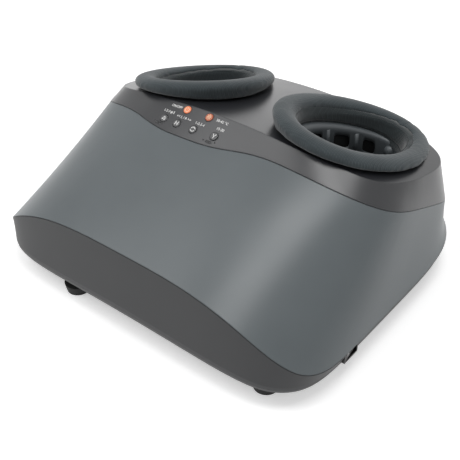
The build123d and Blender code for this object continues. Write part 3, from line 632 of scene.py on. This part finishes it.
def panel_hit(surface, point, name):
    """Where a line square to the button panel meets a surface, with the surface's normal."""
    hit, normal, _, _ = surface.ray_cast(point + PANEL_UP * RAY_LIFT, -PANEL_UP, RAY_REACH)
    if hit is None:
        raise RuntimeError("nothing under " + name)
    return hit, normal


def add_arc(bm, centre, start, radius, half, turn):
    """A flat band swept round a centre: start and turn in degrees, half of its width."""
    heading = Vector((math.cos(math.radians(start)), math.sin(math.radians(start)), 0))
    ends = [bm.verts.new(centre + heading * (radius + side * half)) for side in (-1, 1)]
    edge = bm.edges.new(ends)
    bmesh.ops.spin(
        bm, geom=[*ends, edge], cent=centre, axis=(0, 0, 1), angle=math.radians(turn), steps=ARC_STEPS,
        use_merge=turn == FULL_TURN,
    )


def add_bar(bm, place, length, width, angle):
    """A flat bar at a place, its length turned from the x axis by an angle in degrees."""
    made = bmesh.ops.create_grid(bm, x_segments=BAR_STEPS, y_segments=1, size=0.5)
    size = Matrix.Diagonal((length, width, 1, 1))
    turn = Matrix.Rotation(math.radians(angle), 4, "Z")
    bmesh.ops.transform(bm, matrix=Matrix.Translation(place) @ turn @ size, verts=made["verts"])


# ---- Settings


def length_setting(name, description, default):
    """A size that a user may change."""
    return bpy.props.FloatProperty(
        name=name, description=description, default=default, unit="LENGTH", subtype="DISTANCE"
    )


class CollarSettings(bpy.types.PropertyGroup):
    """The padded collars"""

    voxel: length_setting("Mesh size", "Edge length of the collar's mesh", 2.6 * MM)
    seam_depth: length_setting("Seam depth", "How far the heel seam is drawn in", 0.7 * MM)
    seam_width: length_setting("Seam width", "Width of the drawn-in seam", 1.8 * MM)
    swell: length_setting("Swell", "How far the foam fills the cover", 1.1 * MM)


class LegendSettings(bpy.types.PropertyGroup):
    """The signs on the buttons and the marks beside them"""

    height: length_setting("Legend height", "Height of the printed marks", 4.3 * MM)
    weight: length_setting("Legend weight", "How far the strokes are widened", 0.1 * MM)
    lift: length_setting("Ink lift", "How far the ink stands off the surface", 0.12 * MM)
    stroke: length_setting("Sign stroke", "Line width of the signs on the buttons", 0.95 * MM)


class StageSettings(bpy.types.PropertyGroup):
    """Floor, lights and camera"""

    floor_size: length_setting("Floor size", "Side of the floor", 12.0)
    key_power: bpy.props.FloatProperty(
        name="Key light", description="Power of the main soft light", default=18.0, unit="POWER"
    )
    lens: bpy.props.FloatProperty(name="Lens", description="Focal length", default=63.02, unit="CAMERA")


# ---- Pieces


class MASSAGER_OT_finishes(bpy.types.Operator):
    """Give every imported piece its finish"""

    bl_idname = "massager.finishes"
    bl_label = "Finish the solids"

    def execute(self, context):
        for name, obj in NODES.items():
            starts = [start for start in NODE_FINISH if name.startswith(start)]
            if not starts:
                raise RuntimeError("no finish for " + name)
            dress(obj, finish(NODE_FINISH[max(starts, key=len)]))
        return {"FINISHED"}


class MASSAGER_OT_collars(bpy.types.Operator):
    """Build the two padded collars round the ankle openings"""

    bl_idname = "massager.collars"
    bl_label = "Padded collars"

    def execute(self, context):
        settings = context.scene.massager_collar
        for side in SIDES:
            collar = self.build(side, settings)
            self.stitches(collar, side, settings)
        return {"FINISHED"}

    def build(self, side, settings):
        """The collar's solid remeshed, relaxed, swollen on its upper side and seamed at the heel."""
        bm = bmesh_of(NODES["ankle_collar_" + side].data)
        bmesh.ops.remove_doubles(bm, verts=bm.verts, dist=WELD)
        obj = new_piece("padded_collar_" + side, bm, finish("collar_knit"))
        remesh = obj.modifiers.new("remesh", "REMESH")
        remesh.mode = "VOXEL"
        remesh.voxel_size = settings.voxel
        baked(obj)
        bm = bmesh_of(obj.data)
        for _ in range(COLLAR_RELAX_STEPS):
            bmesh.ops.smooth_vert(
                bm, verts=bm.verts, factor=COLLAR_RELAX, use_axis_x=True, use_axis_y=True, use_axis_z=True
            )
        bm.normal_update()
        for vert in bm.verts:
            vert.co += vert.normal * settings.swell * max(0.0, vert.normal.z)
        self.draw_seam(bm, side, settings)
        bm.to_mesh(obj.data)
        bm.free()
        for face in obj.data.polygons:
            face.use_smooth = True
        subdivide = obj.modifiers.new("soft", "SUBSURF")
        subdivide.levels = subdivide.render_levels = 1
        baked(obj)
        dress(obj, finish("collar_knit"))
        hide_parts("ankle_collar_" + side)
        return obj

    def draw_seam(self, bm, side, settings):
        """Draws the cover in along one line over the tube, at the heel."""
        middle, across, along = opening_axes(side)
        for vert in bm.verts:
            reach = vert.co - middle
            if reach.dot(along) > 0:
                away = reach.dot(across) / settings.seam_width
                vert.co -= vert.normal * settings.seam_depth * math.exp(-away * away)

    def stitches(self, collar, side, settings):
        """Two rows of thread beside the seam, each stitch laid on the cover."""
        middle, across, along = opening_axes(side)
        surface = surface_of(collar)
        size = Matrix.Diagonal((*STITCH_HALF, 1.0))
        bm = bmesh.new()
        for row in (-1, 1):
            for step in range(STITCH_COUNT):
                reach = STITCH_START + step * STITCH_PITCH
                start = middle + across * row * settings.seam_width * STITCH_SIDE_SHARE + along * reach
                start.z = STITCH_RAY_HEIGHT
                hit, normal, _, _ = surface.ray_cast(start, Vector((0, 0, -1)), STITCH_RAY_REACH)
                if hit is None or normal.z < STITCH_LEAST_RISE:
                    continue
                made = bmesh.ops.create_icosphere(bm, subdivisions=2, radius=1.0)
                side_axis = along.cross(normal).normalized()
                turn = Matrix((side_axis, normal.cross(side_axis), normal)).transposed().to_4x4()
                bmesh.ops.transform(bm, matrix=Matrix.Translation(hit) @ turn @ size, verts=made["verts"])
        new_piece("seam_stitches_" + side, bm, finish("thread"))


class MASSAGER_OT_wells(bpy.types.Operator):
    """Line the two ankle wells with fabric under the collars"""

    bl_idname = "massager.wells"
    bl_label = "Well linings"

    def execute(self, context):
        for side in SIDES:
            lining = self.lining(side)
            self.skirt(side, surface_of(bpy.data.objects["padded_collar_" + side]), surface_of(lining))
        return {"FINISHED"}

    def lining(self, side):
        """Fabric on the ring's inner wall, copied from the faces that look at the well's middle."""
        middle = opening_axes(side)[0]
        bm = bmesh_of(NODES["collar_ring_" + side].data)
        bmesh.ops.remove_doubles(bm, verts=bm.verts, dist=WELD)
        bm.normal_update()
        outside = []
        for face in bm.faces:
            inward = middle - face.calc_center_median()
            inward.z = 0
            if face.normal.dot(inward.normalized()) < INWARD_SHARE:
                outside.append(face)
        bmesh.ops.delete(bm, geom=outside, context="FACES")
        bm.normal_update()
        for vert in bm.verts:
            vert.co += vert.normal * LINING_GAP
        bmesh.ops.solidify(bm, geom=bm.faces, thickness=LINING_THICKNESS)
        bmesh.ops.recalc_face_normals(bm, faces=bm.faces)
        # The lining's darker knit is painted shade for the inside of the well.
        return new_piece("well_lining_" + side, bm, finish("well_knit_painted_shade"))

    def skirt(self, side, collar, lining):
        """Fabric drawn tight from the collar's inner side over the ring's lip to the lining."""
        turns = [360 * step / SKIRT_COLUMNS for step in range(SKIRT_COLUMNS)]
        lines = [self.taut_line(side, turn, collar, lining) for turn in turns]
        bm = bmesh.new()
        columns = []
        for step, turn in enumerate(turns):
            near = [lines[(step + shift) % SKIRT_COLUMNS] for shift in SKIRT_BLUR]
            column = []
            for points in zip(*near):
                inset = sum(point[0] for point in points) / len(near)
                depth = sum(point[1] for point in points) / len(near)
                column.append(bm.verts.new(opening_point(side, turn, inset * MM, depth * MM)))
            columns.append(column)
        strips(bm, columns + columns[:1])
        thickened(bm, SKIRT_THICKNESS)
        # The skirt's darker knit is painted shade for the inside of the well.
        new_piece("well_skirt_" + side, bm, finish("well_knit_painted_shade"))

    def inset_at(self, tree, side, turn, depth):
        """How far a wall stands inside the opening's edge at one turn and depth, in mm."""
        centre = opening_point(side, turn, WELL_AXIS_INSET * MM, depth * MM)
        reach = opening_point(side, turn, 0.0, depth * MM) - centre
        hit = tree.ray_cast(centre, reach.normalized(), 2 * reach.length)[0]
        return None if hit is None else WELL_AXIS_INSET * (1 - (hit - centre).length / reach.length)

    def taut_line(self, side, turn, collar, lining):
        """Insets and depths of a tight line from the collar's innermost point to the lining."""
        foam = [(depth, self.inset_at(collar, side, turn, depth)) for depth in SKIRT_DEPTHS]
        cloth = [(depth, self.inset_at(lining, side, turn, depth)) for depth in SKIRT_DEPTHS]
        inset, start = max((inset, -depth) for depth, inset in foam if inset is not None)
        points = [(-start, inset - SKIRT_SINK)]
        points += [point for point in foam + cloth if point[0] > -start and point[1] is not None]
        hull = self.hull(sorted(points))
        first, last = hull[0][0], hull[-1][0]
        line = []
        for row in range(SKIRT_ROWS):
            depth = first + (last - first) * row / (SKIRT_ROWS - 1)
            for before, after in zip(hull, hull[1:]):
                if before[0] <= depth <= after[0]:
                    share = (depth - before[0]) / (after[0] - before[0])
                    inset = before[1] + (after[1] - before[1]) * share
            line.append((inset + (SKIRT_GAP if row else 0.0), depth))
        return line

    def hull(self, points):
        """The tight line over points in order of depth: none of them stands further in."""
        hull = []
        for point in points:
            while len(hull) > 1 and (
                (hull[-1][0] - hull[-2][0]) * (point[1] - hull[-2][1])
                >= (hull[-1][1] - hull[-2][1]) * (point[0] - hull[-2][0])
            ):
                hull.pop()
            if not hull or point[0] > hull[-1][0]:
                hull.append(point)
            elif point[1] > hull[-1][1]:
                hull[-1] = point
        return hull


class MASSAGER_OT_inserts(bpy.types.Operator):
    """Add the moulded massage insert round the heel side of each ankle well"""

    bl_idname = "massager.inserts"
    bl_label = "Well inserts"

    def execute(self, context):
        for side in SIDES:
            gap_row = len(INSERT_ABOVE)
            self.band("well_insert_", side, self.section, gap_row, "insert_abs", INSERT_THICKNESS)
            # a near-black sheet behind the windows: painted shade seen through them
            self.band("insert_shade_sheet_", side, self.shade_sheet_section, None, "shade_black_nylon", SHADE_SHEET_THICKNESS)
            self.ribs(side)
        return {"FINISHED"}

    def section(self, turn):
        """The insert's section at one turn; its two middle points stand apart where a window is."""
        half = 0.0
        for middle, reach in INSERT_WINDOWS:
            away = abs(turn - middle) / reach
            if away < 1:
                half = WINDOW_HALF * (1 - away ** WINDOW_POWER) ** (1 / WINDOW_POWER)
        inset = INSERT_ABOVE[-1][0]
        return (*INSERT_ABOVE, (inset, WINDOW_DEPTH - half), (inset, WINDOW_DEPTH + half), *INSERT_BELOW)

    def shade_sheet_section(self, turn):
        """The near-black sheet of painted shade behind the windows keeps one section all round."""
        return SHADE_SHEET_SECTION

    def band(self, name, side, section, gap_row, finish_name, thickness):
        """A band swept round the well; the faces of its gap row are left out."""
        turns = set(range(INSERT_TURNS[0], INSERT_TURNS[1] + 1))
        for middle, reach in INSERT_WINDOWS:
            for share in (1, WINDOW_CORNER_SHARE):
                turns.update((middle - reach * share, middle + reach * share))
        bm = bmesh.new()
        columns = []
        for turn in sorted(turns):
            points = [opening_point(side, turn, inset * MM, depth * MM) for inset, depth in section(turn)]
            columns.append([bm.verts.new(point) for point in points])
        strips(bm, columns, gap_row)
        bmesh.ops.remove_doubles(bm, verts=bm.verts, dist=INSERT_WELD)
        thickened(bm, thickness)
        new_piece(name + side, bm, finish(finish_name))

    def ribs(self, side):
        """Upright ribs between the windows, and the blunt knob beside them."""
        bm = bmesh.new()
        for turn in RIB_TURNS:
            top = opening_point(side, turn, RIB_INSET, RIB_TOP)
            foot = opening_point(side, turn, RIB_INSET, RIB_FOOT)
            made = bmesh.ops.create_cone(
                bm, cap_ends=True, segments=RIB_SIDES, radius1=RIB_RADIUS, radius2=RIB_RADIUS,
                depth=(top - foot).length,
            )
            bmesh.ops.transform(bm, matrix=Matrix.Translation((top + foot) / 2), verts=made["verts"])
        around, up = KNOB_SIDES
        made = bmesh.ops.create_uvsphere(bm, u_segments=around, v_segments=up, radius=KNOB_RADIUS)
        knob = opening_point(side, KNOB_TURN, KNOB_INSET, KNOB_DEPTH)
        bmesh.ops.transform(bm, matrix=Matrix.Translation(knob), verts=made["verts"])
        new_piece("insert_ribs_" + side, bm, finish("insert_abs"))


class MASSAGER_OT_legends(bpy.types.Operator):
    """Print the signs on the buttons and the plain marks beside them"""

    bl_idname = "massager.legends"
    bl_label = "Signs and marks"

    def execute(self, context):
        settings = context.scene.massager_legend
        ink = printed("legend_ink", LEGEND_INK)
        pale_ink = printed("sign_ink_pale", ORANGE_KEY_INK)
        trim = node_surface(TOP_TRIM)
        for key in KEYS:
            cap = self.cap_middle("button_" + key)
            self.sign(key, cap, pale_ink if key in ORANGE_KEYS else ink, settings)
            words, across, up = LEGENDS[key]
            point = cap + PANEL_ACROSS * across * MM + PANEL_RISE * up * MM
            self.legend(key, words, point, ink, trim, settings)
        self.light_dots(settings)
        self.rocker_signs(ink, settings)
        return {"FINISHED"}

    def cap_middle(self, name):
        """The middle of a button's face."""
        verts = [vert.co for vert in NODES[name].data.vertices]
        top = max(vert.dot(PANEL_UP) for vert in verts)
        face = [vert for vert in verts if vert.dot(PANEL_UP) > top - CAP_EDGE]
        low = Vector([min(vert[i] for vert in face) for i in range(3)])
        high = Vector([max(vert[i] for vert in face) for i in range(3)])
        return (low + high) / 2

    def sign(self, key, middle, ink, settings):
        """A button's sign, built flat and laid on its face."""
        bm = bmesh.new()
        for x, y, radius, start, turn in SIGNS[key]["arcs"]:
            add_arc(bm, Vector((x * MM, y * MM, 0)), start, radius * MM, settings.stroke / 2, turn)
        for x, y, length, angle in SIGNS[key]["bars"]:
            add_bar(bm, (x * MM, y * MM, 0), length * MM, settings.stroke, angle)
        bmesh.ops.transform(bm, matrix=panel_matrix(middle), verts=bm.verts)
        obj = new_piece("sign_" + key, bm, ink, "key_" + key)
        self.lay_on_panel(obj, node_surface("button_" + key), settings)

    def legend(self, key, words, point, ink, trim, settings):
        """One printed mark, from the built-in font."""
        curve = bpy.data.curves.new("words", "FONT")
        curve.body = words
        curve.size = settings.height
        curve.offset = settings.weight
        curve.align_x = "CENTER"
        curve.align_y = "CENTER"
        curve.resolution_u = LEGEND_CURVE_STEPS
        text = bpy.data.objects.new("words", curve)
        bpy.context.scene.collection.objects.link(text)
        depsgraph = bpy.context.evaluated_depsgraph_get()
        mesh = bpy.data.meshes.new_from_object(text.evaluated_get(depsgraph))
        bpy.data.objects.remove(text)
        bm = bmesh_of(mesh)
        bmesh.ops.remove_doubles(bm, verts=bm.verts, dist=LEGEND_WELD)
        bmesh.ops.transform(bm, matrix=panel_matrix(point), verts=bm.verts)
        obj = new_piece("legend_" + key, bm, ink)
        self.lay_on_panel(obj, trim, settings)

    def light_dots(self, settings):
        """Round dark windows over the panel's lights."""
        surface = node_surface(TOP_TRIM, "indicator_lights")
        bm = bmesh.new()
        for place in LIGHT_DOTS:
            hit, normal = panel_hit(surface, Vector(place) * MM, "the light windows")
            made = bmesh.ops.create_circle(bm, cap_ends=True, segments=DOT_SIDES, radius=settings.stroke)
            turn = normal.to_track_quat("Z", "Y").to_matrix().to_4x4()
            move = Matrix.Translation(hit + normal * settings.lift)
            bmesh.ops.transform(bm, matrix=move @ turn, verts=made["verts"])
        obj = new_piece("light_windows", bm, finish("lens_smoke"))
        self.thicken(obj, settings)

    def rocker_signs(self, ink, settings):
        """The bar and the ring on the rocker switch, which faces the right."""
        low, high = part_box("rocker")
        middle = (low + high) / 2
        surface = node_surface("rocker")
        half = settings.stroke * ROCKER_STROKE_SHARE
        bm = bmesh.new()
        add_bar(bm, (ROCKER_SIGN_REACH, 0, 0), ROCKER_BAR, 2 * half, 90)
        add_arc(bm, Vector((-ROCKER_SIGN_REACH, 0, 0)), 0, ROCKER_RING, half, FULL_TURN)
        turn = Matrix(((0, 1, 0), (0, 0, 1), (1, 0, 0))).transposed().to_4x4()
        move = Matrix.Translation((high.x, middle.y, middle.z))
        bmesh.ops.transform(bm, matrix=move @ turn, verts=bm.verts)
        obj = new_piece("rocker_signs", bm, ink, "rocker_paddle")
        outwards = Vector((1, 0, 0))
        for vert in obj.data.vertices:
            hit = surface.ray_cast(vert.co + outwards * ROCKER_RAY_LIFT, -outwards, RAY_REACH)[0]
            if hit is None:
                raise RuntimeError("nothing under the rocker's signs")
            vert.co = hit + outwards * settings.lift
        self.thicken(obj, settings)

    def lay_on_panel(self, obj, surface, settings):
        """Lays a flat mark on a surface, seen square to the button panel, and gives it thickness."""
        for vert in obj.data.vertices:
            vert.co = panel_hit(surface, vert.co, obj.name)[0] + PANEL_UP * settings.lift
        self.thicken(obj, settings)

    def thicken(self, obj, settings):
        """Gives flat ink its thickness."""
        bm = bmesh_of(obj.data)
        thickened(bm, settings.lift * INK_THICKNESS_SHARE)
        bm.to_mesh(obj.data)
        bm.free()


# ---- Stage


class MASSAGER_OT_stage(bpy.types.Operator):
    """Set the floor, the lights and the camera"""

    bl_idname = "massager.stage"
    bl_label = "Stage"

    def execute(self, context):
        settings = context.scene.massager_stage
        self.floor(settings)
        self.lights(settings)
        self.world(context.scene)
        self.camera(context.scene, settings)
        context.scene.view_settings.view_transform = "Standard"
        return {"FINISHED"}

    def seen(self, tree):
        """The light path, and 1 where the camera sees this, directly or mirrored."""
        path = node(tree, "ShaderNodeLightPath")
        seen = node(
            tree, "ShaderNodeMath", {"operation": "MAXIMUM"},
            {0: path.outputs["Is Camera Ray"], 1: path.outputs["Is Glossy Ray"]},
        )
        return path, seen.outputs[0]

    def floor(self, settings):
        """White paper that keeps the shadow near the massager."""
        bm = bmesh.new()
        bmesh.ops.create_grid(bm, x_segments=1, y_segments=1, size=settings.floor_size / 2)
        mesh = bpy.data.meshes.new("floor")
        bm.to_mesh(mesh)
        bm.free()
        obj = bpy.data.objects.new("floor", mesh)
        bpy.context.scene.collection.objects.link(obj)
        material, tree, place = new_material("floor_paper")
        away = node(tree, "ShaderNodeVectorMath", {"operation": "LENGTH"}, {0: place})
        share = node(tree, "ShaderNodeMapRange", FLOOR_GLOW, {"Value": away.outputs["Value"]})
        lifted = node(
            tree, "ShaderNodeMath", {"operation": "MULTIPLY"}, {0: self.seen(tree)[1], 1: share.outputs[0]}
        )
        paper = node(tree, "ShaderNodeBsdfDiffuse", {"Color": linear(FLOOR_PAPER)})
        glow = node(tree, "ShaderNodeEmission", {"Color": WHITE}, {"Strength": lifted.outputs[0]})
        both = node(tree, "ShaderNodeAddShader", links={0: paper.outputs[0], 1: glow.outputs[0]})
        dress(obj, finish_surface(material, tree, both))

    def lights(self, settings):
        """Soft square lamps that share the key's power."""
        for name, place, size, share in LIGHTS:
            light = bpy.data.lights.new(name, "AREA")
            light.shape = "SQUARE"
            light.size = size
            light.energy = settings.key_power * share
            obj = bpy.data.objects.new(name, light)
            obj.location = place
            obj.rotation_euler = (LIGHTS_LOOK_AT - Vector(place)).to_track_quat("-Z", "Y").to_euler()
            bpy.context.scene.collection.objects.link(obj)

    def world(self, scene):
        """A white studio, dimmer for the light it throws than for the eye."""
        world = bpy.data.worlds.new("studio")
        world.use_nodes = True
        tree = world.node_tree
        tree.nodes.clear()
        path, seen = self.seen(tree)
        clear = node(
            tree, "ShaderNodeMath", {"operation": "MAXIMUM"},
            {0: seen, 1: path.outputs["Is Transmission Ray"]},
        )
        strength = node(tree, "ShaderNodeMapRange", WORLD_GLOW, {"Value": clear.outputs[0]})
        sky = node(tree, "ShaderNodeBackground", {"Color": WHITE}, {"Strength": strength.outputs[0]})
        node(tree, "ShaderNodeOutputWorld", links={"Surface": sky.outputs[0]})
        scene.world = world

    def camera(self, scene, settings):
        """The photo's view."""
        data = bpy.data.cameras.new("camera")
        data.sensor_width = CAMERA_SENSOR_MM
        data.lens = settings.lens
        data.clip_start, data.clip_end = CAMERA_CLIP
        obj = bpy.data.objects.new("camera", data)
        obj.location = CAMERA_PLACE
        azimuth, elevation, roll = CAMERA_TURN
        heading = Vector((
            -math.sin(azimuth) * math.cos(elevation),
            math.cos(azimuth) * math.cos(elevation),
            -math.sin(elevation),
        ))
        obj.rotation_mode = "QUATERNION"
        rolled = Matrix.Rotation(roll, 3, "Z").to_quaternion()
        obj.rotation_quaternion = heading.to_track_quat("-Z", "Y") @ rolled
        scene.collection.objects.link(obj)
        scene.camera = obj


class MASSAGER_PT_panel(bpy.types.Panel):
    """The massager's building steps, in order"""

    bl_idname = "MASSAGER_PT_panel"
    bl_label = "Foot Massager"
    bl_space_type = "VIEW_3D"
    bl_region_type = "UI"
    bl_category = "Foot Massager"

    def draw(self, context):
        for step in STEPS:
            self.layout.operator(step.bl_idname)


STEPS = (
    MASSAGER_OT_finishes,
    MASSAGER_OT_collars,
    MASSAGER_OT_wells,
    MASSAGER_OT_inserts,
    MASSAGER_OT_legends,
    MASSAGER_OT_stage,
)
SETTINGS = {
    "massager_collar": CollarSettings,
    "massager_legend": LegendSettings,
    "massager_stage": StageSettings,
}


def register():
    for cls in (*SETTINGS.values(), *STEPS, MASSAGER_PT_panel):
        bpy.utils.register_class(cls)
    for name, cls in SETTINGS.items():
        setattr(bpy.types.Scene, name, bpy.props.PointerProperty(type=cls))


def unregister():
    for name in SETTINGS:
        delattr(bpy.types.Scene, name)
    for cls in (MASSAGER_PT_panel, *reversed(STEPS), *SETTINGS.values()):
        bpy.utils.unregister_class(cls)


def main():
    register()
    for step in STEPS:
        group, name = step.bl_idname.split(".")
        getattr(getattr(bpy.ops, group), name)()


if __name__ == "__main__":
    main()
